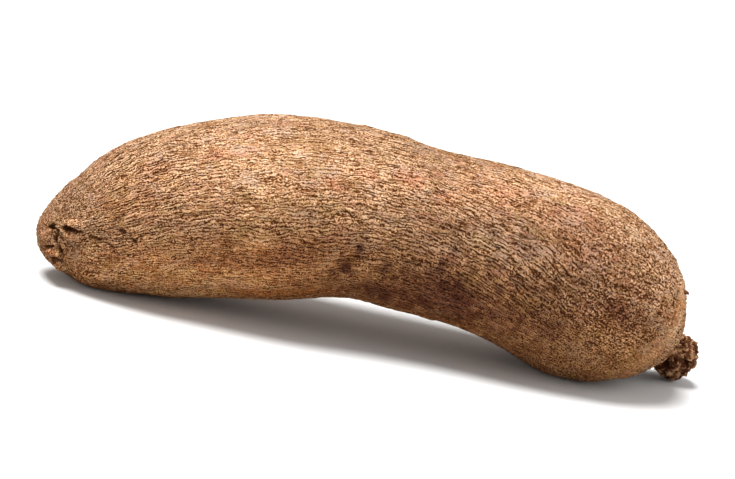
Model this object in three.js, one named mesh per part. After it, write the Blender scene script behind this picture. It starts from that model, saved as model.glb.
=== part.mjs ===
// African white yam, one whole tuber as dug up, lying on its side.
// Millimetres. +X runs from the growing tip to the crown, +Y to the rear, +Z up.
// The origin is on the resting surface, under the middle of the tuber.
//
// The tuber is a lathed solid whose profile is bent along a curved middle line.
// Broad swellings, hollows and the folds of the tip are then added to its skin,
// and the underside is flattened at the two places that carry the tuber's weight.

import * as THREE from "three";

// Driving dimensions
const tuberLength = 380; // from the growing tip to the end of the crown knob
const bellyRadius = 50.5; // half the thickness at the thickest place
const sectionDepth = 1.03; // front-to-back thickness over up-and-down thickness

// Middle line from tip to crown: x in tuber lengths, y and z in belly radii.
const middleLinePoints = [
  { x: 0, y: -0.22, z: 0.41 },
  { x: 0.075, y: -0.15, z: 0.57 },
  { x: 0.16, y: -0.07, z: 0.84 },
  { x: 0.285, y: 0, z: 1.135 },
  { x: 0.425, y: 0.04, z: 1.3 },
  { x: 0.54, y: 0.02, z: 1.275 },
  { x: 0.65, y: 0, z: 1.275 },
  { x: 0.74, y: 0.04, z: 1.19 },
  { x: 0.81, y: 0.11, z: 1.03 },
  { x: 0.87, y: 0.24, z: 0.8 },
  { x: 0.955, y: 0.53, z: 0.37 },
  { x: 1, y: 0.68, z: 0.21 },
];

// Half outline: share of the middle line, then the radius in belly radii.
// The last points are the neck and the corky knob where the vine grew.
const outlinePoints = [
  { at: 0, radius: 0 },
  { at: 0.002, radius: 0.12 },
  { at: 0.013, radius: 0.27 },
  { at: 0.034, radius: 0.43 },
  { at: 0.068, radius: 0.62 },
  { at: 0.152, radius: 0.86 },
  { at: 0.265, radius: 0.98 },
  { at: 0.35, radius: 1 },
  { at: 0.48, radius: 0.905 },
  { at: 0.6, radius: 0.905 },
  { at: 0.71, radius: 0.91 },
  { at: 0.78, radius: 0.91 },
  { at: 0.84, radius: 0.81 },
  { at: 0.89, radius: 0.57 },
  { at: 0.913, radius: 0.37 },
  { at: 0.926, radius: 0.25 },
  { at: 0.944, radius: 0.2 },
  { at: 0.968, radius: 0.23 },
  { at: 0.987, radius: 0.21 },
  { at: 0.998, radius: 0.11 },
  { at: 1, radius: 0 },
];

// Fineness of the skin
const ringCount = 76; // rings of vertices from end to end
const segmentCount = 48; // vertices round each ring
const fullFeatureRadius = 12; // millimetres; features fade out where the skin is narrower

// Swellings (height above 0) and hollows (below 0) of the skin, in millimetres.
// Angle in degrees: 0 is the top, 90 the front, 180 the underside, 270 the rear.
// Length and width are the half sizes along and round the tuber.
const tipFolds = [
  { at: 0.012, angle: 110, length: 7, width: 9, height: 2.2 },
  { at: 0.036, angle: 132, length: 4, width: 9, height: -2.4 },
  { at: 0.055, angle: 80, length: 12, width: 4.5, height: -2.8 },
  { at: 0.065, angle: 62, length: 12, width: 8, height: 1.6 },
  { at: 0.03, angle: 210, length: 8, width: 9, height: 1.8 },
  { at: 0.05, angle: 255, length: 10, width: 5, height: -2.2 },
  { at: 0.04, angle: 320, length: 9, width: 8, height: 1.6 },
];
const bodySwellings = [
  { at: 0.17, angle: 28, length: 22, width: 26, height: 1.6 },
  { at: 0.2, angle: 118, length: 20, width: 22, height: -1.8 },
  { at: 0.24, angle: 235, length: 30, width: 28, height: 2.4 },
  { at: 0.31, angle: 300, length: 26, width: 24, height: -2.2 },
  { at: 0.33, angle: 82, length: 30, width: 24, height: 1.5 },
  { at: 0.42, angle: 140, length: 24, width: 22, height: -1.6 },
  { at: 0.47, angle: 345, length: 22, width: 30, height: 1.8 },
  { at: 0.5, angle: 262, length: 32, width: 26, height: 2.2 },
  { at: 0.55, angle: 100, length: 24, width: 20, height: -1.8 },
  { at: 0.6, angle: 62, length: 18, width: 22, height: -1.4 },
  { at: 0.66, angle: 305, length: 28, width: 26, height: -2 },
  { at: 0.69, angle: 122, length: 26, width: 24, height: 1.8 },
  { at: 0.74, angle: 20, length: 18, width: 22, height: 1.4 },
  { at: 0.775, angle: 186, length: 62, width: 50, height: 10.5 },
  { at: 0.8, angle: 275, length: 24, width: 24, height: 1.6 },
];
const crownFolds = [
  { at: 0.885, angle: 70, length: 7, width: 34, height: -1.2 },
  { at: 0.905, angle: 300, length: 8, width: 26, height: 1.6 },
  { at: 0.97, angle: 40, length: 6, width: 6, height: 2.4 },
  { at: 0.975, angle: 115, length: 5, width: 6, height: -2 },
  { at: 0.985, angle: 165, length: 6, width: 6, height: 1.8 },
  { at: 0.97, angle: 250, length: 6, width: 6, height: 2.2 },
  { at: 0.98, angle: 310, length: 5, width: 5, height: -2 },
];
const skinFeatures = [...tipFolds, ...bodySwellings, ...crownFolds];

function makeMiddleLine() {
  const points = middleLinePoints.map(
    ({ x, y, z }) => new THREE.Vector3(x * tuberLength, y * bellyRadius, z * bellyRadius),
  );
  return new THREE.CatmullRomCurve3(points, false, "centripetal");
}

// Half outline of the straight tuber, as radius and distance along the axis, at even steps.
function makeHalfOutline(lineLength) {
  const points = outlinePoints.map(
    ({ at, radius }) => new THREE.Vector2(radius * bellyRadius, at * lineLength),
  );
  const outline = new THREE.SplineCurve(points).getSpacedPoints(ringCount);
  outline[0].set(0, 0);
  outline[ringCount].set(0, lineLength);
  return outline;
}

// How far the skin stands out of the lathed shape at a place: the sum of the features' bells.
function skinHeight(distance, angle, radius, lineLength) {
  let height = 0;
  for (const feature of skinFeatures) {
    const along = (distance - feature.at * lineLength) / feature.length;
    const turn = angle - THREE.MathUtils.degToRad(feature.angle);
    const round = (Math.atan2(Math.sin(turn), Math.cos(turn)) * radius) / feature.width;
    height += feature.height * Math.exp(-(along * along) - round * round);
  }
  return height * Math.min(1, radius / fullFeatureRadius);
}

// Moves the vertices of the straight tuber, whose axis is Y, onto the middle line.
function bendAlong(geometry, line, lineLength) {
  const up = new THREE.Vector3(0, 0, 1);
  const position = geometry.getAttribute("position");
  for (let i = 0; i < position.count; i += 1) {
    const radius = Math.hypot(position.getX(i), position.getZ(i));
    const angle = Math.atan2(position.getX(i), position.getZ(i));
    const distance = position.getY(i);
    const share = Math.min(1, distance / lineLength); // stored distances are rounded
    const tangent = line.getTangentAt(share);
    const front = new THREE.Vector3().crossVectors(tangent, up).normalize();
    const top = new THREE.Vector3().crossVectors(front, tangent);
    const reach = radius + skinHeight(distance, angle, radius, lineLength);
    const place = line.getPointAt(share);
    place.addScaledVector(front, reach * Math.sin(angle) * sectionDepth);
    place.addScaledVector(top, reach * Math.cos(angle));
    position.setXYZ(i, place.x, place.y, Math.max(place.z, 0)); // flat where it rests
  }
}

// Puts the middle of the box, seen from above, over the origin.
function centreOverOrigin(geometry) {
  geometry.computeBoundingBox();
  const middle = geometry.boundingBox.getCenter(new THREE.Vector3());
  geometry.translate(-middle.x, -middle.y, 0);
}

function makeTuberGeometry() {
  const line = makeMiddleLine();
  const lineLength = line.getLength();
  const geometry = new THREE.LatheGeometry(makeHalfOutline(lineLength), segmentCount);
  bendAlong(geometry, line, lineLength);
  centreOverOrigin(geometry);
  geometry.computeVertexNormals();
  return geometry;
}

const bark = new THREE.MeshStandardMaterial({
  color: 0x9a7350,
  roughness: 0.85,
  metalness: 0,
});

const tuber = new THREE.Mesh(makeTuberGeometry(), bark);
tuber.name = "tuber";

const yam = new THREE.Group();
yam.add(tuber);

export default yam;
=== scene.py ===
# A whole yam tuber: a fine skin over the CAD tuber, its bark relief, its scars and its finish.
import math

import bmesh
import bpy
import numpy as np
from mathutils import Matrix, Vector


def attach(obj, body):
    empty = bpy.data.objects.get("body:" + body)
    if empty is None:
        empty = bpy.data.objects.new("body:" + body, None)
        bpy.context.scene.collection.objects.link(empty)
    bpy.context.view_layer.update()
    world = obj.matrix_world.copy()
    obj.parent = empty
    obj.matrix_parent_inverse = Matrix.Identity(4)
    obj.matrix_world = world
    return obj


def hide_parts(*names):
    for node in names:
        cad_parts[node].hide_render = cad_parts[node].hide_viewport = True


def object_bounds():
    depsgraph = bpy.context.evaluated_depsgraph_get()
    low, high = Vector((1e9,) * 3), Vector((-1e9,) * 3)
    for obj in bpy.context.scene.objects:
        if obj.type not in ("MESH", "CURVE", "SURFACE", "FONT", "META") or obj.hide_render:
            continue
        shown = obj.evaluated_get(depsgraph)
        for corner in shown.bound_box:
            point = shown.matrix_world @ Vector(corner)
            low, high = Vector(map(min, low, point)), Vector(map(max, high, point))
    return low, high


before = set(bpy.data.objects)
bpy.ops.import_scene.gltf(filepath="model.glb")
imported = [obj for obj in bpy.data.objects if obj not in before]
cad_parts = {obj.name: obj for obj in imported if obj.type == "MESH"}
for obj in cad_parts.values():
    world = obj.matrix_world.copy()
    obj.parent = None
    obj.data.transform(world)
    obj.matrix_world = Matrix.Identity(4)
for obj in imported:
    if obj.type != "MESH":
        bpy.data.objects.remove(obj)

cadLow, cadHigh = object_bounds()
middle = (cadLow + cadHigh) / 2
mm = 0.001


# node wiring

class Wire:
    # a node socket that does arithmetic: each operator adds its Math node

    def __init__(self, tree, socket=None):
        self.tree = tree
        self.socket = socket

    def make(self, kind, settings=None, feeds=None, give=0):
        # adds any node: its settings first, then the values or wires of its sockets
        node = self.tree.nodes.new(kind)
        for name, value in (settings or {}).items():
            if name == "stops":
                setStops(node.color_ramp, value)
            else:
                setattr(node, name, value)
        for name, value in (feeds or {}).items():
            if isinstance(value, Wire):
                self.tree.links.new(value.socket, node.inputs[name])
            else:
                node.inputs[name].default_value = value
        return Wire(self.tree, node.outputs[give] if len(node.outputs) else None)

    def maths(self, operation, first, second=0.0):
        return self.make("ShaderNodeMath", {"operation": operation}, {0: first, 1: second})

    def __add__(self, other):
        return self.maths("ADD", self, other)

    def __radd__(self, other):
        return self.maths("ADD", other, self)

    def __sub__(self, other):
        return self.maths("SUBTRACT", self, other)

    def __rsub__(self, other):
        return self.maths("SUBTRACT", other, self)

    def __mul__(self, other):
        return self.maths("MULTIPLY", self, other)

    def __rmul__(self, other):
        return self.maths("MULTIPLY", other, self)

    def __rtruediv__(self, other):
        return self.maths("DIVIDE", other, self)

    def size(self):
        return self.maths("ABSOLUTE", self)

    def ease(self, low, high):
        # 0 at low, 1 at high, smooth between; low may be the larger one
        feeds = {"Value": self, "From Min": low, "From Max": high}
        return self.make("ShaderNodeMapRange", {"interpolation_type": "SMOOTHSTEP"}, feeds)

    def scaled(self, factors):
        return self.make("ShaderNodeVectorMath", {"operation": "MULTIPLY"}, {0: self, 1: factors})

    def inUnitsOf(self, length, width=None):
        # counted in lengths along the tuber and widths across it, which is the size of noise on it
        across = 1 / (width or length)
        return self.scaled((1 / length, across, across))

    def moved(self, offset):
        return self.make("ShaderNodeVectorMath", {"operation": "ADD"}, {0: self, 1: offset})

    def part(self, axis):
        return self.make("ShaderNodeSeparateXYZ", {}, {0: self}, axis)

    def noise(self, detail=2.0, roughness=0.5, give=0):
        feeds = {"Vector": self, "Scale": 1.0, "Detail": detail, "Roughness": roughness}
        return self.make("ShaderNodeTexNoise", {"noise_dimensions": "3D"}, feeds, give)

    def cells(self, feature="F1"):
        feeds = {"Vector": self, "Scale": 1.0}
        return self.make("ShaderNodeTexVoronoi", {"feature": feature}, feeds)


def setStops(ramp, stops):
    while len(ramp.elements) < len(stops):
        ramp.elements.new(1.0)
    for element, (position, colour) in zip(ramp.elements, stops):
        element.position = position
        element.color = (*colour, 1)


def mixColours(factor, first, second, blend="MIX"):
    # the first is a wire, the second a wire or a fixed colour
    settings = {"data_type": "RGBA", "blend_type": blend, "clamp_result": True}
    added = second if isinstance(second, Wire) else (*second, 1)
    return first.make("ShaderNodeMix", settings, {0: factor, 6: first, 7: added}, 2)


def newMaterial(name):
    # an empty material, and a wire to start its nodes from
    material = bpy.data.materials.new(name)
    material.use_nodes = True
    material.node_tree.nodes.clear()
    return material, Wire(material.node_tree)


def newTree(name, inputs):
    # a Geometry Nodes tree with one geometry output, and wires from its inputs
    tree = bpy.data.node_groups.new(name, "GeometryNodeTree")
    for label, kind in inputs:
        tree.interface.new_socket(label, in_out="INPUT", socket_type="NodeSocket" + kind)
    tree.interface.new_socket("Result", in_out="OUTPUT", socket_type="NodeSocketGeometry")
    sockets = tree.nodes.new("NodeGroupInput").outputs
    return tree, {socket.name: Wire(tree, socket) for socket in sockets if socket.name}


def endTree(shape, material):
    real = shape.make("GeometryNodeRealizeInstances", {}, {0: shape})
    finished = shape.make("GeometryNodeSetMaterial", {}, {0: real, 2: material})
    shape.make("NodeGroupOutput", {}, {0: finished})


def stored(start, name, kind="FLOAT"):
    # an attribute of the mesh, in a Geometry Nodes tree
    return start.make("GeometryNodeInputNamedAttribute", {"data_type": kind}, {0: name})


def painted(start, name, give=2):
    # the same in a material: give 1 is its vector, 2 its number
    return start.make("ShaderNodeAttribute", {"attribute_name": name}, {}, give)


def applyTree(carrier, tree, values):
    # the tree's result as a plain mesh, with the modifier gone
    modifier = carrier.modifiers.new(tree.name, "NODES")
    modifier.node_group = tree
    for socket in tree.interface.items_tree:
        if socket.in_out == "INPUT" and socket.name in values:
            modifier[socket.identifier] = values[socket.name]
    evaluated = carrier.evaluated_get(bpy.context.evaluated_depsgraph_get())
    mesh = bpy.data.meshes.new_from_object(evaluated)
    carrier.modifiers.remove(modifier)
    return mesh


def addObject(name, content):
    added = bpy.data.objects.new(name, content)
    bpy.context.scene.collection.objects.link(added)
    return added


# camera and light

cameraLook = {
    "azimuth": -7,       # degrees; the growing tip comes a little nearer than the crown
    "elevation": 15,
    "roll": 13.5,        # the tuber slopes down to the right
    "distance": 1.5,
    "lens": 133,
    "aimAlong": -13 * mm,   # from the middle of the tuber towards the tip
    "aimUp": -4 * mm,
}


def makeCamera(look):
    azimuth = math.radians(look["azimuth"])
    elevation = math.radians(look["elevation"])
    away = Vector((
        math.sin(azimuth) * math.cos(elevation),
        -math.cos(azimuth) * math.cos(elevation),
        math.sin(elevation),
    ))
    aim = middle + Vector((look["aimAlong"], 0, look["aimUp"]))
    level = (-away).to_track_quat("-Z", "Y").to_matrix()
    turned = level @ Matrix.Rotation(math.radians(look["roll"]), 3, "Z")
    camera = addObject("camera", bpy.data.cameras.new("camera"))
    camera.data.lens = look["lens"]
    camera.location = aim + away * look["distance"]
    camera.rotation_euler = turned.to_euler()
    bpy.context.scene.camera = camera


studio = {
    "lamps": (               # name, strength, degrees across, where it shines from
        ("keyLight", 5.1, 26, (-0.30, -0.02, 1.0)),
        ("leftFill", 1.0, 60, (-1.0, -0.45, 0.2)),
        ("rightFill", 1.3, 60, (1.0, 0.05, 0.45)),
    ),
    "skyLight": 0.62,        # light from straight above
    "skyLow": 0.24,          # light from the sides
    "skyGrows": (-0.1, 1.0),     # from just under the horizon to straight up
    "backdrop": 1.3,         # what the camera sees behind the floor
    "floorColour": (0.74, 0.74, 0.735, 1),
    "floorRoughness": 0.9,
    "floorRadius": 9,
    "floorSides": 64,
}


def makeLamps(look):
    for name, strength, across, shinesFrom in look["lamps"]:
        lamp = addObject(name, bpy.data.lights.new(name, "SUN"))
        lamp.data.energy = strength
        lamp.data.angle = math.radians(across)
        lamp.rotation_euler = Vector(shinesFrom).to_track_quat("Z", "Y").to_euler()


def makeWorld(look):
    # a soft box overhead; the camera itself sees plain white
    world = bpy.data.worlds.new("studioRoom")
    world.use_nodes = True
    world.node_tree.nodes.clear()
    start = Wire(world.node_tree)
    upward = start.make("ShaderNodeTexCoord").part(2)
    light = look["skyLow"] + upward.ease(*look["skyGrows"]) * (look["skyLight"] - look["skyLow"])
    seen = start.make("ShaderNodeLightPath")     # 1 where the camera looks at it
    strength = seen * look["backdrop"] + (1 - seen) * light
    room = start.make("ShaderNodeBackground", {}, {"Strength": strength})
    start.make("ShaderNodeOutputWorld", {}, {0: room})
    bpy.context.scene.world = world
    bpy.context.scene.view_settings.view_transform = "Standard"


def makeFloor(look):
    bm = bmesh.new()
    bmesh.ops.create_circle(bm, cap_ends=True, segments=look["floorSides"], radius=look["floorRadius"])
    mesh = bpy.data.meshes.new("floor")
    bm.to_mesh(mesh)
    bm.free()
    paint = bpy.data.materials.new("floorPaint")
    paint.use_nodes = True
    shader = paint.node_tree.nodes["Principled BSDF"]
    shader.inputs["Base Color"].default_value = look["floorColour"]
    shader.inputs["Roughness"].default_value = look["floorRoughness"]
    mesh.materials.append(paint)
    addObject("floor", mesh)


makeCamera(cameraLook)
makeLamps(studio)
makeWorld(studio)
makeFloor(studio)
print("camera, light and floor are in place")


# the tuber's skin: the CAD surface again, with rings and columns close enough for bark

skin = {
    "ringCount": 300,        # bands of faces from tip to crown
    "aroundCount": 320,      # faces round each band
    "closer": (              # share of the length, how closely the rings lie there
        (0.0, 1.9), (0.12, 1.9), (0.2, 1.0), (0.74, 1.0), (0.79, 1.9), (1.0, 1.7),
    ),
    "mergeWithin": 0.01 * mm,
    "poleEdges": 12,         # only the two poles join more edges than this
    "turns": (               # the grain's turns round the tuber: from, to (mm), degrees, at angle
        (75, 180, 9, 120),
        (120, 235, -9, 30),
        (215, 335, 30, 110),
    ),
    "grainRadius": ((0, 30), (130, 50), (310, 50), (440, 30)),   # mm from the tip, mm
    "grainSqueeze": 2,       # the most that the grain's lines crowd together
}


def cadRings(node):
    # the CAD tuber's vertices, ring by ring from the tip, each ring starting at its top
    bm = bmesh.new()
    bm.from_mesh(node.data)
    bmesh.ops.remove_doubles(bm, verts=bm.verts, dist=skin["mergeWithin"])
    poles = [v for v in bm.verts if len(v.link_edges) > skin["poleEdges"]]
    tip = min(poles, key=lambda v: v.co.x)
    rings = [{tip}]
    seen = {tip}
    while len(seen) < len(bm.verts):
        following = {e.other_vert(v) for v in rings[-1] for e in v.link_edges} - seen
        seen |= following
        rings.append(following)
    centres = [sum((v.co for v in ring), Vector()) / len(ring) for ring in rings]
    table = []
    start = centres[1] + Vector((0, 0, 1))
    for i in range(1, len(rings) - 1):
        forward = (centres[i + 1] - centres[i - 1]).normalized()
        front = forward.cross(Vector((0, 0, 1))).normalized()
        top = front.cross(forward)
        ring = [v.co - centres[i] for v in rings[i]]
        ring.sort(key=lambda p: math.atan2(p.dot(front), p.dot(top)))
        ring = [p + centres[i] for p in ring]
        first = min(range(len(ring)), key=lambda k: (ring[k] - start).length)
        ring = ring[first:] + ring[:first]
        start = ring[0]
        table.append([tuple(p) for p in ring])
    ends = [[tuple(centre)] * len(table[0]) for centre in (centres[0], centres[-1])]
    bm.free()
    return np.array([ends[0], *table, ends[1]])


def curvedBetween(table, places):
    # Catmull-Rom values of a table's rows at fractional row numbers
    rows = np.clip(places.astype(int), 1, len(table) - 3)
    t = (places - rows)[:, None, None]
    a, b, c, d = (table[rows + k] for k in (-1, 0, 1, 2))
    return b + 0.5 * t * (c - a + t * (2 * a - 5 * b + 4 * c - d + t * (3 * (b - c) + d - a)))


def refined(rings):
    # past each pole the rings come back turned half round, so the surface is smooth there
    around = rings.shape[1]
    past = [np.roll(rings[k], around // 2, axis=0) for k in (1, -2)]
    lengthened = np.concatenate([[past[0]], rings, [past[1]]])
    # bands are narrower towards the ends, where the folds are
    shares, closeness = np.array(skin["closer"]).T
    trial = np.linspace(0, 1, 2000)     # steps much finer than the bands
    passed = np.cumsum(np.interp(trial, shares, closeness))
    passed = (passed - passed[0]) / (passed[-1] - passed[0])
    places = np.interp(np.linspace(0, 1, skin["ringCount"] + 1), passed, trial)
    bands = curvedBetween(lengthened, 1 + places * (len(rings) - 1))
    wrapped = np.concatenate([bands[:, -1:], bands, bands[:, :3]], axis=1)
    turns = 1 + np.arange(skin["aroundCount"]) * around / skin["aroundCount"]
    return curvedBetween(wrapped.transpose(1, 0, 2), turns).transpose(1, 0, 2)


def measured(grid):
    # each vertex's distance from the tip along the skin, its ring's radius, and its angle
    # (0 is the top, 90 degrees the front, 180 the underside)
    steps = np.linalg.norm(np.diff(grid, axis=0), axis=2).mean(axis=1)
    along = np.concatenate([[0], np.cumsum(steps)])
    radius = np.linalg.norm(grid - grid.mean(axis=1)[:, None], axis=2).mean(axis=1)
    angle = np.arange(grid.shape[1]) * 2 * math.pi / grid.shape[1]
    shape = grid.shape[:2]
    return tuple(np.broadcast_to(v, shape) for v in (along[:, None], radius[:, None], angle))


def skinFaces(rows, around):
    # row 0 is the tip pole, then the rings, then the crown pole
    faces = []
    corners = []
    last = 1 + (rows - 2) * around
    for i in range(rows - 1):
        for j in range(around):
            lower = 1 + (i - 1) * around
            k = (j + 1) % around
            if i == 0:
                faces.append((0, 1 + k, 1 + j))
                corners.append(((j + 0.5, 0), (j + 1, 1), (j, 1)))
            elif i == rows - 2:
                faces.append((lower + j, lower + k, last))
                corners.append(((j, i), (j + 1, i), (j + 0.5, i + 1)))
            else:
                faces.append((lower + j, lower + k, lower + around + k, lower + around + j))
                corners.append(((j, i), (j + 1, i), (j + 1, i + 1), (j, i + 1)))
    return faces, corners


def perVertex(values):
    # a grid's values in the order of the mesh's vertices, each pole once
    between = values[1:-1].reshape(-1, *values.shape[2:])
    return np.concatenate([values[0, :1], between, values[-1, :1]])


def addAttribute(mesh, name, values):
    kind = "FLOAT_VECTOR" if values.ndim == 2 else "FLOAT"
    attribute = mesh.attributes.new(name, kind, "POINT")
    field = "vector" if values.ndim == 2 else "value"
    attribute.data.foreach_set(field, values.astype(np.float32).ravel())


def easeBetween(values, low, high):
    t = np.clip((values - low) / (high - low), 0, 1)
    return t * t * (3 - 2 * t)


def makeSkinMesh(grid):
    rows, around = grid.shape[:2]
    faces, corners = skinFaces(rows, around)
    mesh = bpy.data.meshes.new("yamSkin")
    mesh.from_pydata(perVertex(grid).tolist(), [], faces)
    layer = mesh.uv_layers.new(name="OFBake")
    share = np.array([corner for face in corners for corner in face]) / (around, rows - 1)
    layer.data.foreach_set("uv", share.astype(np.float32).ravel())
    mesh.shade_smooth()
    return mesh


def markGrain(mesh, along, radius, angle):
    # places on the tuber as if it were straight, and the same with the grain's turns undone
    # the grain's own radius changes slowly, so its lines run on into the tip and the crown
    turned = angle.copy()
    for start, end, degrees, side in skin["turns"]:
        near = np.cos((angle - math.radians(side)) / 2) ** 4    # 1 on that side, 0 opposite
        turned -= math.radians(degrees) * easeBetween(along, start * mm, end * mm) * near
    distances, radii = np.array(skin["grainRadius"]).T * mm
    slow = np.minimum(np.interp(along, distances, radii), radius * skin["grainSqueeze"])
    for name, reach, direction in (("straight", radius, angle), ("grain", slow, turned)):
        place = np.stack([along, reach * np.sin(direction), reach * np.cos(direction)], axis=2)
        addAttribute(mesh, name, perVertex(place))


grid = refined(cadRings(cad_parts["tuber"]))
along, radius, angle = measured(grid)
skinMesh = makeSkinMesh(grid)
markGrain(skinMesh, along, radius, angle)
print("skin has", len(skinMesh.vertices), "vertices and", len(skinMesh.polygons), "faces")


# scars: folds, clefts and pits, each a path of (distance from the tip in mm, angle) points
# width and depth are in mm, a depth below 0 stands out, deepest is that place's share of the path

scars = [
    # the tip has two lobes, one below the other, each with its crease, and a hole under them
    {"path": ((9, 68), (13, 76), (13, 88)), "width": 7.0, "depth": -2.4, "deepest": 0.5},
    {"path": ((13, 109), (17, 109), (20, 103)), "width": 5.5, "depth": -2.0, "deepest": 0.5},
    {"path": ((4, 118), (9, 107), (14, 99), (21, 91)), "width": 1.9, "depth": 3.0, "deepest": 0.6},
    {"path": ((20, 58), (23, 66), (21, 76), (21, 84), (22, 92)), "width": 1.9, "depth": 3.4,
     "deepest": 0.6},
    {"path": ((22, 88), (24, 98), (26, 112)), "width": 2.2, "depth": 4.0, "deepest": 0.5},
    {"path": ((16, 51), (19, 55), (21, 61)), "width": 3.4, "depth": 5.0, "deepest": 0.5},
    {"path": ((16, 119), (21, 120), (26, 117)), "width": 5.0, "depth": 8.0, "deepest": 0.5},
    {"path": ((18, 155), (25, 139), (31, 126)), "width": 3.5, "depth": -1.4, "deepest": 0.5},
    {"path": ((27, 142), (30, 139)), "width": 2.2, "depth": 2.0, "deepest": 0.5},
    # a cleft behind them, with a brow above it and a lip below it
    {"path": ((25, 61), (29, 65), (33, 69), (41, 74)), "width": 3.2, "depth": 6.5, "deepest": 0.4},
    {"path": ((26, 54), (33, 60), (41, 67)), "width": 4.2, "depth": -2.2, "deepest": 0.5},
    {"path": ((26, 75), (32, 77), (40, 82)), "width": 5.0, "depth": -1.8, "deepest": 0.4},
    {"path": ((42, 76), (48, 81), (53, 81)), "width": 2.4, "depth": 2.4, "deepest": 0.4},
    {"path": ((53, 84), (55, 89), (57, 94)), "width": 2.0, "depth": 1.6, "deepest": 0.5},
    {"path": ((60, 74), (63, 77), (65, 79)), "width": 2.8, "depth": 2.8, "deepest": 0.5},
    {"path": ((65, 83), (68, 86), (70, 90)), "width": 2.2, "depth": 2.2, "deepest": 0.5},
    {"path": ((34, 118), (42, 120), (55, 117)), "width": 2.6, "depth": 1.2, "deepest": 0.4},
    # long cracks on the belly
    {"path": ((213, 63), (219, 60), (226, 56), (241, 54)), "width": 1.6, "depth": 0.9, "deepest": 0.6},
    {"path": ((274, 65), (279, 65), (285, 63), (293, 65)), "width": 1.7, "depth": 1.2, "deepest": 0.4},
    {"path": ((301, 70), (309, 72), (319, 68)), "width": 1.6, "depth": 0.8, "deepest": 0.4},
    # the hollow between the crown and the knob, and the knob's own holes
    {"path": ((388, 98), (392, 114), (391, 140)), "width": 6.0, "depth": 1.6, "deepest": 0.5},
    {"path": ((423, 82), (426, 92), (424, 102)), "width": 3.4, "depth": 3.6, "deepest": 0.5},
    {"path": ((410, 112), (417, 130), (415, 150)), "width": 4.6, "depth": 4.0, "deepest": 0.6},
    {"path": ((420, 20), (426, 34), (422, 48)), "width": 3.0, "depth": 1.8, "deepest": 0.5},
    {"path": ((409, 200), (415, 225), (412, 250)), "width": 3.8, "depth": 2.6, "deepest": 0.5},
    # out of sight: more folds round the crown and the tip
    {"path": ((363, 140), (361, 180), (364, 214)), "width": 3.0, "depth": 1.5, "deepest": 0.5},
    {"path": ((371, 220), (369, 280), (370, 340)), "width": 2.6, "depth": 1.4, "deepest": 0.5},
    {"path": ((380, 120), (382, 170), (379, 210)), "width": 2.4, "depth": 1.2, "deepest": 0.5},
    {"path": ((30, 190), (27, 225), (33, 250)), "width": 2.8, "depth": 1.8, "deepest": 0.3},
    {"path": ((58, 230), (66, 245), (70, 262)), "width": 2.4, "depth": 1.0, "deepest": 0.5},
    {"path": ((44, 300), (40, 325), (47, 340)), "width": 2.4, "depth": 1.2, "deepest": 0.5},
    {"path": ((150, 262), (163, 268), (171, 266)), "width": 1.8, "depth": 0.8, "deepest": 0.5},
    {"path": ((262, 300), (270, 296), (285, 299)), "width": 1.8, "depth": 0.8, "deepest": 0.4},
]

# creases side by side round the crown's shoulder, uneven in place, length, width and depth

creases = {
    "distances": (351, 358, 363, 367, 371, 377),    # mm from the tip
    "sway": 1.8,             # mm, how far each one bends to and fro
    "startAngle": 18,
    "startSpread": 30,
    "middleAngles": (54, 74, 96),
    "endAngle": 128,
    "endSpread": 26,
    "bow": (-3, 0, 2, 2, -2),    # mm, how far ahead of its distance each of its five points lies
    "width": 2.1,
    "widthSpread": 0.4,
    "depth": 1.2,
    "deeperBy": 2.4,
    "deepOnes": (2, 4),
    "deepest": (0.4, 0.6),   # in turn
}


def crownCrease(i, distance):
    # the numbers in the sines and the cosine only keep the creases from being alike
    sway = creases["sway"] * math.sin(2.1 * i)
    angles = (
        creases["startAngle"] + creases["startSpread"] * math.sin(2.4 * i),
        *creases["middleAngles"],
        creases["endAngle"] + creases["endSpread"] * math.cos(1.7 * i),
    )
    swayed = (0, sway, 0, -sway, 0)
    distances = [distance + bow + aside for bow, aside in zip(creases["bow"], swayed)]
    return {
        "path": tuple(zip(distances, angles)),
        "width": creases["width"] + creases["widthSpread"] * math.sin(1.3 * i),
        "depth": creases["depth"] + creases["deeperBy"] * (i in creases["deepOnes"]),
        "deepest": creases["deepest"][i % 2],
    }


scars += [crownCrease(i, distance) for i, distance in enumerate(creases["distances"])]

scarShape = {
    "leastTaper": 0.04,      # how thin a scar's ends become
    "rim": 0.3,              # the rim's height as a share of the depth
    "rimEnds": 2.4,          # where the rim runs out, in widths from the path
    "stepsBetween": 4,       # steps from one point of a path to the next
}


def placeOn(distance, degrees):
    # the skin's point at a distance in mm from the tip and an angle
    row = np.interp(distance * mm, along[:, 0], np.arange(len(along)))
    column = degrees / 360 * grid.shape[1]
    low = int(row)
    left = int(column)
    right = (left + 1) % grid.shape[1]
    share = column - left
    here, ahead = (
        ring[left % grid.shape[1]] * (1 - share) + ring[right] * share
        for ring in (grid[low], grid[min(low + 1, len(grid) - 1)])
    )
    return here * (1 - (row - low)) + ahead * (row - low)


def onSkin(path):
    # a path's points on the skin, with more between each two so that it follows the curve
    last = len(path) - 1
    places = np.linspace(0, last, scarShape["stepsBetween"] * last + 1)
    distances, angles = (np.interp(places, range(last + 1), column) for column in np.array(path).T)
    return [placeOn(*point) for point in zip(distances, angles)]


def awayFrom(path):
    # every vertex's distance from a path of points, and how far along the path it is
    nearest = np.full(grid.shape[:2], np.inf)
    place = np.zeros(grid.shape[:2])
    for i, (a, b) in enumerate(zip(path, path[1:])):
        share = np.clip(((grid - a) @ (b - a)) / ((b - a) @ (b - a)), 0, 1)
        distance = np.linalg.norm(grid - a - share[..., None] * (b - a), axis=2)
        place = np.where(distance < nearest, (i + share) / (len(path) - 1), place)
        nearest = np.minimum(nearest, distance)
    return nearest, place


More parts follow.
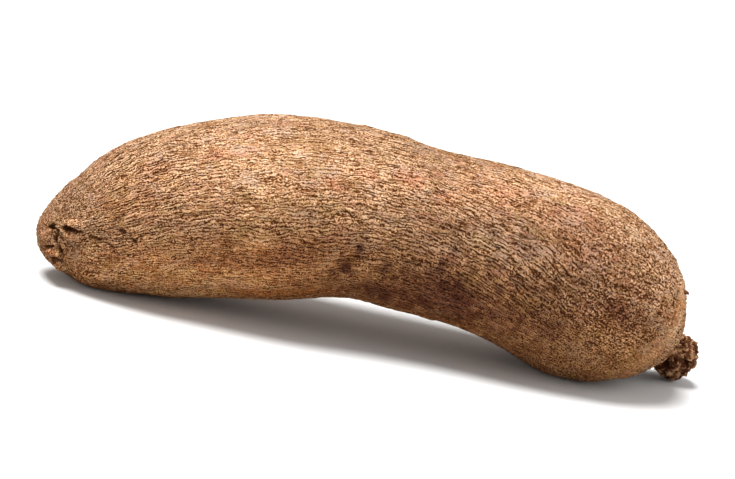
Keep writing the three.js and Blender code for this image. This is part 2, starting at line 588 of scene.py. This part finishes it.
def markScars(mesh):
    # each scar is widest and deepest at one place and runs out at both ends, between low rims
    rim = scarShape["rim"]
    depth = np.zeros(grid.shape[:2])
    for scar in scars:
        distance, place = awayFrom(onSkin(scar["path"]))
        deepest = scar["deepest"]
        towardsEnd = np.minimum(place / deepest, (1 - place) / (1 - deepest))
        taper = np.sqrt(np.clip(towardsEnd, scarShape["leastTaper"], 1))
        away = distance / (scar["width"] * mm * taper)
        hollow = 1 - (1 + rim) * easeBetween(away, 0, 1)
        depth += scar["depth"] * taper * (hollow + rim * easeBetween(away, 1, scarShape["rimEnds"]))
    addAttribute(mesh, "scar", perVertex(depth))


# stains and painted light: (distance from the tip in mm, angle, half length, half width in mm,
# strength)

stainsAndPaintedLight = {
    # dark is partly stains and partly painted shade: the broad spots low on the front between 215 and
    # 300 mm, the one in the hole under the tip's lobes and the one in the hollow before the knob
    "dark": (
        (197, 97, 2.2, 4, 1.0), (191, 113, 5, 5, 0.8), (216, 133, 14, 12, 0.6),
        (225, 112, 14, 12, 0.4), (215, 109, 4, 8, 0.4), (243, 100, 4, 10, 0.4),
        (251, 117, 26, 18, 0.5), (237, 135, 60, 22, 0.5),
        (292, 108, 45, 24, 0.35), (284, 122, 60, 26, 0.45), (21, 121, 5, 4, 0.8),
        (394, 120, 8, 14, 0.7), (336, 89, 16, 9, 0.4), (104, 108, 8, 2.5, 0.5),
        (150, 106, 45, 9, 0.25), (185, 118, 14, 6, 0.3), (258, 89, 18, 8, 0.2),
        (308, 52, 34, 20, 0.2), (243, 66, 10, 6, 0.15),
        (120, 250, 40, 25, 0.4), (300, 230, 50, 22, 0.45), (190, 310, 18, 12, 0.35),
    ),
    "brown": (
        (305, 56, 38, 22, 0.9), (260, 60, 24, 14, 0.4), (240, 69, 22, 9, 0.6), (120, 71, 8, 4, 0.8),
        (295, 44, 34, 14, 0.6), (82, 55, 10, 8, 0.5), (230, 66, 16, 8, 0.6),
        (135, 108, 30, 8, 0.7), (190, 120, 30, 12, 0.4),
        (162, 99, 28, 9, 0.7), (340, 90, 20, 12, 0.5), (184, 134, 50, 12, 0.4),
        (235, 98, 65, 16, 0.5), (275, 300, 70, 30, 0.5), (154, 107, 5, 3, 0.6),
    ),
    "grey": (
        (267, 68, 34, 18, 0.55), (279, 71, 6, 4, 0.8), (302, 89, 40, 22, 0.4),
        (216, 74, 18, 10, 0.3), (200, 230, 50, 30, 0.5), (340, 300, 30, 20, 0.4),
    ),
    "warm": (
        (156, 142, 45, 8, 0.8), (70, 100, 40, 25, 0.3), (130, 110, 60, 24, 0.35),
        (352, 73, 30, 30, 0.3), (252, 151, 70, 20, 0.5), (90, 200, 60, 30, 0.4),
        (366, 55, 5, 14, 0.6), (77, 50, 24, 16, 0.5), (165, 106, 55, 18, 0.15),
    ),
    "rosy": (
        (13, 76, 6, 10, 0.5), (17, 107, 5, 5, 0.5), (31, 74, 6, 3, 0.6), (17, 31, 4, 4, 0.8),
        (120, 36, 9, 6, 0.6), (256, 35, 30, 14, 0.4), (336, 89, 14, 8, 0.5), (413, 40, 10, 8, 0.9),
        (177, 58, 6, 5, 0.7), (192, 47, 9, 6, 0.6), (214, 43, 9, 6, 0.8), (238, 49, 10, 6, 0.7),
    ),
    # pale is partly pale spots and partly painted light: the broad spots low on the front between 50
    # and 105 mm light the underside near the tip
    "pale": (
        (128, 35, 34, 22, 0.4), (137, 98, 8, 7, 1.0), (191, 40, 30, 16, 0.4),
        (105, 122, 50, 16, 0.9), (95, 145, 42, 16, 0.9), (369, 75, 7, 34, 0.6), (17, 31, 3, 3, 0.6),
        (34, 77, 7, 3, 0.6), (34, 60, 8, 3, 0.7), (385, 96, 8, 12, 0.5),
        (60, 110, 30, 12, 0.8), (50, 95, 22, 12, 0.5),
        (150, 330, 40, 25, 0.5), (300, 22, 30, 20, 0.35), (414, 88, 4, 4, 0.8), (421, 64, 4, 4, 0.6),
        (133, 77, 4, 3, 0.8), (151, 78, 3, 2.5, 0.7), (161, 37, 7, 5, 0.6), (140, 63, 10, 4, 0.4),
        (18, 80, 4, 6, 0.4), (25, 128, 5, 4, 0.5), (20, 48, 8, 8, 0.4), (209, 84, 9, 6, 0.9),
        (140, 50, 12, 8, 0.4), (322, 96, 16, 9, 0.5), (330, 106, 22, 9, 0.6),
    ),
}


# how coarse the bark is, ordinary but for these places: the same five values, below 0 smoother

coarseness = {
    "ordinary": 0.5,
    "most": 1.2,
    "places": (
        (66, 50, 34, 34, 0.7), (225, 40, 30, 25, 0.1), (290, 40, 40, 30, -0.2),
        (318, 200, 50, 30, 0.4), (110, 105, 30, 26, -0.1), (150, 240, 40, 40, -0.3),
        (90, 320, 40, 30, 0.3), (150, 45, 45, 25, -0.3), (190, 98, 120, 28, 0.3),
        (205, 88, 28, 22, 0.4), (250, 85, 20, 15, 0.3), (318, 92, 28, 22, 0.5),
        (369, 78, 8, 45, -0.6), (137, 98, 8, 7, -0.5),
    ),
}


def nearSpot(distance, degrees, length, width):
    # 1 at a place on the skin, fading to 0 round it
    turn = np.abs(angle - math.radians(degrees))
    sideways = np.minimum(turn, 2 * math.pi - turn) * radius / (width * mm)
    lengthways = (along - distance * mm) / (length * mm)
    return np.exp(-lengthways ** 2 - sideways ** 2)


def markStainsAndPaintedLight(mesh):
    # spots that lie over each other make a mark stronger, stain and painted light alike
    overlap = 0.35
    for name, spots in stainsAndPaintedLight.items():
        amount = np.zeros(grid.shape[:2])
        for *place, strength in spots:
            near = nearSpot(*place)
            amount = np.maximum(amount, strength * near) + overlap * amount * near
        addAttribute(mesh, name, perVertex(np.clip(amount, 0, 1)))


def markCoarseness(mesh):
    added = sum(strength * nearSpot(*place) for *place, strength in coarseness["places"])
    amount = np.clip(coarseness["ordinary"] + added, 0, coarseness["most"])
    addAttribute(mesh, "coarse", perVertex(amount))


knob = {
    "starts": 391 * mm,      # where the crown's dome ends and the corky knob begins
    "full": 402 * mm,
    "lumpSize": 6 * mm,
    "lumpHeight": 1.8 * mm,
    "lumpLevel": 0.6,        # the part of a lump's height that is below the plain surface
    "shakeScale": 220,       # bends per metre that make the lumps uneven
    "shake": 6 * mm,
    "pitSize": 3.2 * mm,
    "pitDepth": 1.6 * mm,
    "pitAside": 3 * mm,
    "roughHeight": 0.8 * mm,
    "crumbSize": 2.2 * mm,
    "plain": 0.34,           # how light the cork is, and what crumbs and lumps add to it
    "crumbs": 2.4,
    # the lumps' added lightness is a painted highlight on their tops
    "lumps": 0.5,
    "edgeBroken": 0.6,       # how ragged the edge of the cork is, and between which values it shows
    "edgeShows": (0.3, 0.6),
}


def markKnob(mesh):
    addAttribute(mesh, "knob", perVertex(easeBetween(along, knob["starts"], knob["full"])))


markScars(skinMesh)
markStainsAndPaintedLight(skinMesh)
markCoarseness(skinMesh)
markKnob(skinMesh)
print("scars, stains and the knob are marked")


# the bark: ridges and cracks that follow the grain, the same in the relief and in the finish

bark = {
    "plateLength": 14 * mm,
    "plateWidth": 3.0 * mm,
    "plateHeight": 0.35 * mm,
    "plateMean": 0.7,            # the plates' mean, so that the skin is as often lowered as raised
    "plainPlates": 0.5,          # their share of that height on smooth bark
    "coarsePlates": 1.5,         # and what coarse bark adds
    "roughHeight": 1.5 * mm,
    "roughScale": (350, 600, 600),   # per metre, along the tuber and twice across it
    "roughMiddle": 0.7,          # its share between the ends
    "swellHeight": 1.5 * mm,
    "swellScale": (60, 90, 90),
    "reliefGrows": (0.3 * mm, 5 * mm),   # height above the table where it grows: the soles stay flat
    "gritLength": 0.85 * mm,     # crumbs of bark
    "gritWidth": 0.55 * mm,
    "mottleLength": 6 * mm,
    "mottleWidth": 4 * mm,
    "wrinkleSize": 1.4 * mm,
    "wanderSize": 20 * mm,       # how far apart the grain's bends are
    "wander": 3.5 * mm,
    "ruffleSize": 4 * mm,
    "ruffle": 1.3 * mm,
    "bendLength": 14 * mm,       # the cracks' own bends
    "bendWidth": 5 * mm,
    "crackFloor": 0.03,          # share of the spacing where a crack is deepest
    "wartSpacing": 8 * mm,
    "wartStretch": 1 / 0.7,      # warts are longer along the tuber
    "wartHeight": 0.45 * mm,
    "wartLumps": 4,              # lumps across a wart's spacing, and how much they bend its edge
    "wartLumpiness": 0.16,
    "wartEdge": (0.24, 0.06),    # its foot and its top, as shares of the spacing
    "tipEnd": (70 * mm, 20 * mm),        # where the tip's and the crown's own bark takes over
    "crownEnd": (270 * mm, 345 * mm),
}

# cracks that run side by side with the grain, from long and few to short and many:
# how many round the tuber, how far they bend (in their own spacing), the share of the spacing
# that a crack takes, how long and wide the places are where it opens, which part of them opens,
# how open it is elsewhere, how dark it is and how much lighter the crest beside it
# a crack's darkness is partly the bark's own colour and partly painted shade, its lighter crest partly
# a painted highlight
seams = (
    {"count": 44, "bend": 3, "reach": 0.14, "length": 13 * mm, "width": 5 * mm,
     "opens": (0.50, 0.60), "always": 0.0, "dark": 0.55, "crest": 0.1},
    {"count": 90, "bend": 3.5, "reach": 0.20, "length": 9 * mm, "width": 2.5 * mm,
     "opens": (0.42, 0.60), "always": 0.0, "dark": 0.45, "crest": 0.1},
    {"count": 175, "bend": 4, "reach": 0.60, "length": 6 * mm, "width": 2 * mm,
     "opens": (0.30, 0.60), "always": 0.35, "dark": 0.55, "crest": 0.5},
)


def shaken(place, size):
    # a vector that changes over the given size, each part of it between -0.5 and 0.5
    return place.inUnitsOf(size).noise(1.0, give=1).moved((-0.5,) * 3)


def wandering(grain):
    # the grain's own lines, bent gently and then ruffled
    bends = shaken(grain, bark["wanderSize"]).scaled((0, bark["wander"], bark["wander"]))
    ruffles = shaken(grain, bark["ruffleSize"]).scaled((0, bark["ruffle"], bark["ruffle"]))
    return grain.moved(bends).moved(ruffles)


def ridges(lines, length, width):
    # 0 along the cracks, rising to about 1 on the ridges: the noise strays some 0.2 from its mean
    size = lines.make("ShaderNodeCombineXYZ", {}, {0: 1 / length, 1: 1 / width, 2: 1 / width})
    return (lines.scaled(size).noise(1.0) - 0.5).size() * 5


def crackDepth(lines, seam):
    # 1 in a crack that is open, below 0 on the ridge beside it, 0 where it is closed
    place = lines.moved((seam["count"] * mm, 0, 0))      # each kind of seam has places of its own
    turn = lines.maths("ARCTAN2", lines.part(1), lines.part(2)) * (seam["count"] / (2 * math.pi))
    bend = place.inUnitsOf(bark["bendLength"], bark["bendWidth"]).noise(3.0, 0.6) - 0.5
    away = lines.maths("PINGPONG", turn + bend * seam["bend"], 0.5) * 2    # 0 on the crack's line
    opened = place.inUnitsOf(seam["length"], seam["width"]).noise(1.0, 0.6).ease(*seam["opens"])
    crest = away.ease(seam["reach"], 1.0) * seam["crest"]
    depth = away.ease(seam["reach"], bark["crackFloor"]) - crest
    return depth * (seam["always"] + (1 - seam["always"]) * opened)


def wartShape(grain):
    # 1 on a wart's top, 0 away from warts
    spot = grain.inUnitsOf(bark["wartSpacing"] * bark["wartStretch"], bark["wartSpacing"])
    lumps = spot.scaled((bark["wartLumps"],) * 3).noise(1.0, give=1)
    return spot.moved(lumps.scaled((bark["wartLumpiness"],) * 3)).cells().ease(*bark["wartEdge"])


def knobLumps(place):
    # angular cork lumps: 1 on top, 0 in the gaps
    shake = place.scaled((knob["shakeScale"],) * 3).noise(2.0, give=1).scaled((knob["shake"],) * 3)
    uneven = place.moved(shake).inUnitsOf(knob["lumpSize"])
    return uneven.cells("DISTANCE_TO_EDGE").ease(0.0, 0.4)


def knobPits(place):
    # 1 in the pits of the cork
    return place.moved((knob["pitAside"], 0, 0)).inUnitsOf(knob["pitSize"]).noise(1.0).ease(0.56, 0.66)


def nearEnds(straight):
    # 1 at the two ends, 0 in the middle: there wrinkles and crumbs in all directions take over
    # from the lengthwise cracks, which would crowd together
    along = straight.part(0)
    return along.ease(*bark["tipEnd"]) + along.ease(*bark["crownEnd"])


def makeReliefTree():
    tree, given = newTree("barkRelief", (
        ("Skin", "Geometry"), ("Plate length", "Float"), ("Plate width", "Float"),
        ("Plate height", "Float"), ("Wart height", "Float"), ("Lump height", "Float"),
        ("Finish", "Material"),
    ))
    start = Wire(tree)
    straight = stored(start, "straight", "FLOAT_VECTOR")
    lines = wandering(stored(start, "grain", "FLOAT_VECTOR"))
    plates = ridges(lines, given["Plate length"], given["Plate width"]).ease(0.0, 0.7)
    plates = (plates - bark["plateMean"]) * given["Plate height"]
    plates = plates * (bark["plainPlates"] + stored(start, "coarse") * bark["coarsePlates"])
    swell = (straight.scaled(bark["swellScale"]).noise(1.0) - 0.5) * bark["swellHeight"]
    rough = straight.scaled(bark["roughScale"]).noise(2.0) - 0.5
    height = plates + wartShape(straight) * given["Wart height"] + swell
    height = height + rough * bark["roughHeight"] * (bark["roughMiddle"] + nearEnds(straight))
    corky = stored(start, "knob")
    lumps = (knobLumps(straight) - knob["lumpLevel"]) * given["Lump height"]
    lumps = lumps - knobPits(straight) * knob["pitDepth"] + rough * knob["roughHeight"]
    height = height * (1 - corky) + lumps * corky - stored(start, "scar") * mm
    height = height * start.make("GeometryNodeInputPosition").part(2).ease(*bark["reliefGrows"])
    normal = start.make("GeometryNodeInputNormal")
    offset = start.make("ShaderNodeVectorMath", {"operation": "SCALE"}, {0: normal, 3: height})
    endTree(start.make("GeometryNodeSetPosition", {}, {0: given["Skin"], 3: offset}), given["Finish"])
    return tree


barkColours = {
    "crack": (0.080, 0.021, 0.003),
    "side": (0.22, 0.080, 0.017),
    "tan": (0.46, 0.225, 0.098),
    "ridge": (0.66, 0.36, 0.188),
    "crest": (0.88, 0.58, 0.36),
    "pink": (0.60, 0.29, 0.18),
    "straw": (0.52, 0.32, 0.14),
    "rust": (0.36, 0.16, 0.06),
    "bone": (0.64, 0.42, 0.29),
    "wart": (0.78, 0.52, 0.34),
    "cork": (0.16, 0.062, 0.030),
    "dark": (0.30, 0.21, 0.23),      # the colours below multiply the bark's own
    "warm": (0.93, 0.74, 0.52),
    "grey": (0.72, 0.80, 0.90),
    "brown": (0.76, 0.69, 0.67),
    "rosy": (1.0, 0.80, 0.76),
    "pale": (1.40, 1.46, 1.55),
    # painted shade on the underside, with a brown tint
    "under": (0.78, 0.65, 0.47),
}


# the colours of plain bark and of cork, from their darkest spots to their lightest
# the crack stop is partly painted shade and the crest stop partly a painted highlight
barkRamp = ((0.0, "crack"), (0.25, "side"), (0.5, "tan"), (0.75, "ridge"), (1.0, "crest"))
corkRamp = ((0.1, "crack"), (0.42, "cork"), (0.6, "rust"), (0.8, "ridge"))
fibreRamp = ((0.3, "crack"), (0.75, "cork"))

lightness = {                # what makes a spot of bark lighter or darker on its ramp
    "plain": 0.63,
    "ends": 0.28,            # added at the two ends of the tuber
    "rubbed": 0.2,           # added on lobes and brows, which are smoother too
    "rubbedFull": -1.2,      # the scar depth in mm where that is complete
    "mottle": 0.6,
    "grit": 2.2,
    "coarseGrit": 3.2,       # more grit on coarse bark
    "endsGrit": 0.3,         # and less of it at the ends
    "crack": 0.4,
    "coarseCrack": 1.5,
    "wrinkle": 0.7,
    "cracksShow": (8 * mm, 28 * mm),     # the radius where lengthwise cracks fade in
    "cracksLost": 0.4,       # the share of them that the ends lose
}

finish = {
    "patches": ("pink", "straw", "rust", "bone"),
    "patchesApart": 0.1,     # metres between the places that two of them are taken from
    "patchLength": 16 * mm,
    "patchWidth": 11 * mm,
    "speckLength": 3.2 * mm,
    "speckWidth": 2.2 * mm,
    "patchShows": (0.04, 0.24),
    "patchStrength": 0.7,
    "wartStrength": 0.7,
    "brokenLength": 5 * mm,  # the ragged edges of stains
    "brokenWidth": 8 * mm,
    "broken": 1.1,
    # painted shade: the tuber is made darker and browner below these heights
    "underFades": (36 * mm, -24 * mm),   # height over the tuber's middle line, darker below
    "underBroken": 12 * mm,
    # painted shade in the scars: the deeper a fold, cleft or pit, the darker it is painted
    "scarShadeGrit": 2.0,
    "scarShadeShows": (0.4, 1.8),     # the depth in mm where a scar turns dark
    "scarShadeStrength": 0.85,
    "bumpHeight": 1.2 * mm,
    "gritBump": 1.2,
    "wartBump": 0.4,
    "crackBump": 0.9,
    "roughness": 0.82,
    "gritShine": 0.2,
    "specular": 0.1,
}


def coloured(light, ramp):
    stops = [(position, barkColours[name]) for position, name in ramp]
    return light.make("ShaderNodeValToRGB", {"stops": stops}, {0: light})


def crackedBark(straight, lines):
    # 0 on whole bark, more in the cracks, below 0 on the crests beside them
    across = straight.scaled((0, 1, 1))
    thickness = straight.make("ShaderNodeVectorMath", {"operation": "LENGTH"}, {0: across}, 1)
    ends = nearEnds(straight)
    shown = thickness.ease(*lightness["cracksShow"]) * (1 - ends * lightness["cracksLost"])
    cracks = sum(crackDepth(lines, seam) * seam["dark"] for seam in seams) * shown
    # the wrinkles' dark lines are partly painted shade
    wrinkles = ridges(straight, bark["wrinkleSize"], bark["wrinkleSize"]).ease(0.6, 0.0) * ends
    return cracks + wrinkles * lightness["wrinkle"]


def barkLightness(start, straight, grit, cracked):
    # where each spot of plain bark is on its ramp of colours
    mottle = straight.inUnitsOf(bark["mottleLength"], bark["mottleWidth"]).noise(2.0, 0.6) - 0.5
    ends = nearEnds(straight)
    coarse = painted(start, "coarse")
    rubbed = painted(start, "scar").ease(0.0, lightness["rubbedFull"])
    gritty = lightness["grit"] + coarse * lightness["coarseGrit"]
    gritty = gritty - ends * lightness["endsGrit"] - rubbed
    light = lightness["plain"] + ends * lightness["ends"] + rubbed * lightness["rubbed"]
    light = light + mottle * lightness["mottle"] + grit * gritty
    return light - cracked * (lightness["crack"] + coarse * lightness["coarseCrack"])


def patched(colour, straight, light):
    # patches and specks of other colours, less of them in the cracks
    for i, name in enumerate(finish["patches"]):
        place = straight.moved((i * finish["patchesApart"], 0, 0))
        patch = place.inUnitsOf(finish["patchLength"], finish["patchWidth"]).noise(1.0) - 0.5
        speck = place.inUnitsOf(finish["speckLength"], finish["speckWidth"]).noise(1.5, 0.7) - 0.5
        amount = (patch + speck).ease(*finish["patchShows"]) * light.ease(0.1, 0.5)
        colour = mixColours(amount * finish["patchStrength"], colour, barkColours[name])
    return colour


def withStainsAndPaintedLight(colour, straight, broken):
    # stains, painted shade and painted light with ragged edges, and painted shade below the tuber's
    # middle line, darker and browner there
    for name in stainsAndPaintedLight:
        amount = painted(colour, name)
        amount = (amount + broken * amount.ease(0.0, 0.3)).ease(0.0, 0.9)
        colour = mixColours(amount, colour, barkColours[name], "MULTIPLY")
    under = (straight.part(2) + broken * finish["underBroken"]).ease(*finish["underFades"])
    return mixColours(under, colour, barkColours["under"], "MULTIPLY")


def corkColour(straight):
    # the corky knob: dark, with tan grains; its lumps' tops are painted lighter as a painted highlight
    # and its pits painted black as painted shade
    crumbs = straight.inUnitsOf(knob["crumbSize"]).noise(3.0, 0.65) - 0.5
    light = knob["plain"] + crumbs * knob["crumbs"] + knobLumps(straight) * knob["lumps"]
    return coloured(light - knobPits(straight), corkRamp)


def makeBark():
    material, start = newMaterial("bark")
    straight = painted(start, "straight", 1)
    lines = wandering(painted(start, "grain", 1))
    grit = lines.inUnitsOf(bark["gritLength"], bark["gritWidth"]).noise(1.0, 0.7) - 0.5
    broken = straight.inUnitsOf(finish["brokenLength"], finish["brokenWidth"]).noise(4.0, 0.65)
    broken = (broken - 0.5) * finish["broken"]
    warts = wartShape(straight)
    cracked = crackedBark(straight, lines)
    light = barkLightness(start, straight, grit, cracked)

    colour = patched(coloured(light, barkRamp), straight, light)
    pale = warts * light.ease(0.25, 0.5) * finish["wartStrength"]
    colour = mixColours(pale, colour, barkColours["wart"])
    colour = withStainsAndPaintedLight(colour, straight, broken)
    corky = (painted(start, "knob") + broken * knob["edgeBroken"]).ease(*knob["edgeShows"])
    colour = mixColours(corky, colour, corkColour(straight))
    # painted shade: scars turn dark with depth
    deep = (painted(start, "scar") + grit * finish["scarShadeGrit"]).ease(*finish["scarShadeShows"])
    colour = mixColours(deep * finish["scarShadeStrength"], colour, barkColours["crack"])

    shape = grit * finish["gritBump"] + warts * finish["wartBump"] - cracked * finish["crackBump"]
    feeds = {"Strength": 1.0, "Distance": finish["bumpHeight"], "Height": shape}
    shader = start.make("ShaderNodeBsdfPrincipled", {}, {
        "Base Color": colour,
        "Roughness": finish["roughness"] - grit * finish["gritShine"],
        "Normal": start.make("ShaderNodeBump", {}, feeds),
        "Specular IOR Level": finish["specular"],
    })
    start.make("ShaderNodeOutputMaterial", {}, {0: shader})
    return material


carrier = addObject("skinCarrier", skinMesh)
body = addObject("yamBody", applyTree(carrier, makeReliefTree(), {
    "Plate length": bark["plateLength"],
    "Plate width": bark["plateWidth"],
    "Plate height": bark["plateHeight"],
    "Wart height": bark["wartHeight"],
    "Lump height": knob["lumpHeight"],
    "Finish": makeBark(),
}))
bpy.data.objects.remove(carrier)
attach(body, "root")
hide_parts("tuber")
print("bark relief is on the skin:", len(body.data.polygons), "faces")


# stubs of broken rootlets

stubs = {
    "length": 2.8 * mm,
    "thickness": 2.3 * mm,
    "foot": 1.25,            # how wide it is at its foot, in thicknesses
    "thinning": 0.65,        # how much of that it loses on the way up
    "bend": (0.25, 0.1),     # how far its end leans two ways, in lengths
    "unevenness": 0.16,
    "sunk": 0.9 * mm,        # how deep its foot is in the bark
    "lean": 0.35,
    "fibreScale": (900, 900, 900),   # per metre
    "bumpHeight": 0.3 * mm,
    "roughness": 0.95,
    "fibreShine": 0.2,
    "specular": 0.2,
    "sides": 7,
    "steps": 4,
    "seed": 5,
    "places": (              # distance from the tip in mm, angle, size
        (368, 43, 1.25), (352, 148, 0.8), (340, 250, 0.9), (371, 300, 1.0), (377, 200, 1.1),
        (330, 320, 0.7), (382, 330, 0.7), (384, 260, 0.9), (60, 238, 0.6), (310, 240, 0.6),
        (368, 235, 0.8), (95, 300, 0.6),
    ),
}


def makeStub():
    # one bent, tapering stub with a broken end
    bm = bmesh.new()
    bend, tilt = stubs["bend"]
    rings = []
    for i in range(stubs["steps"] + 1):
        share = i / stubs["steps"]
        width = stubs["thickness"] / 2 * (stubs["foot"] - stubs["thinning"] * share ** 0.7)
        middleOfRing = Vector((bend * share ** 2, tilt * share, share)) * stubs["length"]
        ring = []
        for k in range(stubs["sides"]):
            turn = 2 * math.pi * k / stubs["sides"]
            uneven = 1 + stubs["unevenness"] * math.sin(3 * k + 2 * i)
            offset = Vector((math.cos(turn), math.sin(turn), 0)) * width * uneven
            ring.append(bm.verts.new(middleOfRing + offset))
        rings.append(ring)
    for lower, upper in zip(rings, rings[1:]):
        for k in range(stubs["sides"]):
            after = (k + 1) % stubs["sides"]
            bm.faces.new((lower[k], lower[after], upper[after], upper[k]))
    bm.faces.new(reversed(rings[0]))
    bm.faces.new(rings[-1])
    mesh = bpy.data.meshes.new("stub")
    bm.to_mesh(mesh)
    bm.free()
    return mesh


def makeStubTree():
    tree, given = newTree("rootStubs", (
        ("Places", "Geometry"), ("Stub", "Object"), ("Lean", "Float"), ("Seed", "Int"),
        ("Finish", "Material"),
    ))
    start = Wire(tree)
    sway = start.make("FunctionNodeRandomValue", {"data_type": "FLOAT_VECTOR"}, {
        0: (-1, -1, -1), 1: (1, 1, 1), "Seed": given["Seed"],
    })
    leaning = start.make("ShaderNodeVectorMath", {"operation": "SCALE"}, {0: sway, 3: given["Lean"]})
    upright = stored(start, "outward", "FLOAT_VECTOR").moved(leaning)
    turn = start.make("FunctionNodeAlignRotationToVector", {"axis": "Z"}, {"Vector": upright})
    shape = start.make("GeometryNodeObjectInfo", {}, {"Object": given["Stub"]}, "Geometry")
    points = start.make("GeometryNodeMeshToPoints", {}, {0: given["Places"]})
    placed = start.make("GeometryNodeInstanceOnPoints", {}, {
        "Points": points, "Instance": shape, "Rotation": turn, "Scale": stored(start, "size"),
    })
    endTree(placed, given["Finish"])
    return tree


def makeStubFinish():
    material, start = newMaterial("rootFibre")
    fibre = start.make("ShaderNodeTexCoord", {}, {}, "Object").scaled(stubs["fibreScale"]).noise(3.0)
    feeds = {"Strength": 1.0, "Distance": stubs["bumpHeight"], "Height": fibre}
    shader = start.make("ShaderNodeBsdfPrincipled", {}, {
        "Base Color": coloured(fibre, fibreRamp),
        "Roughness": stubs["roughness"] - fibre * stubs["fibreShine"],
        "Normal": start.make("ShaderNodeBump", {}, feeds),
        "Specular IOR Level": stubs["specular"],
    })
    start.make("ShaderNodeOutputMaterial", {}, {0: shader})
    return material


def placeStubs():
    # each stub's foot and the way it points, square to the skin round it
    reach = 3                # mm and degrees
    points = []
    outward = []
    for distance, degrees, _ in stubs["places"]:
        here = placeOn(distance, degrees)
        ahead = placeOn(distance + reach, degrees) - placeOn(distance - reach, degrees)
        sideways = placeOn(distance, degrees + reach) - placeOn(distance, degrees - reach)
        normal = np.cross(sideways, ahead)
        normal /= np.linalg.norm(normal)
        points.append(here - normal * stubs["sunk"])
        outward.append(normal)
    mesh = bpy.data.meshes.new("stubPlaces")
    mesh.from_pydata([tuple(point) for point in points], [], [])
    addAttribute(mesh, "outward", np.array(outward))
    addAttribute(mesh, "size", np.array([size for _, _, size in stubs["places"]]))
    return mesh


stubShape = addObject("stubShape", makeStub())
carrier = addObject("stubCarrier", placeStubs())
rootStubs = addObject("rootStubs", applyTree(carrier, makeStubTree(), {
    "Stub": stubShape,
    "Lean": stubs["lean"],
    "Seed": stubs["seed"],
    "Finish": makeStubFinish(),
}))
bpy.data.objects.remove(carrier)
bpy.data.objects.remove(stubShape)
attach(rootStubs, "root")
print("root stubs are on:", len(rootStubs.data.polygons), "faces")
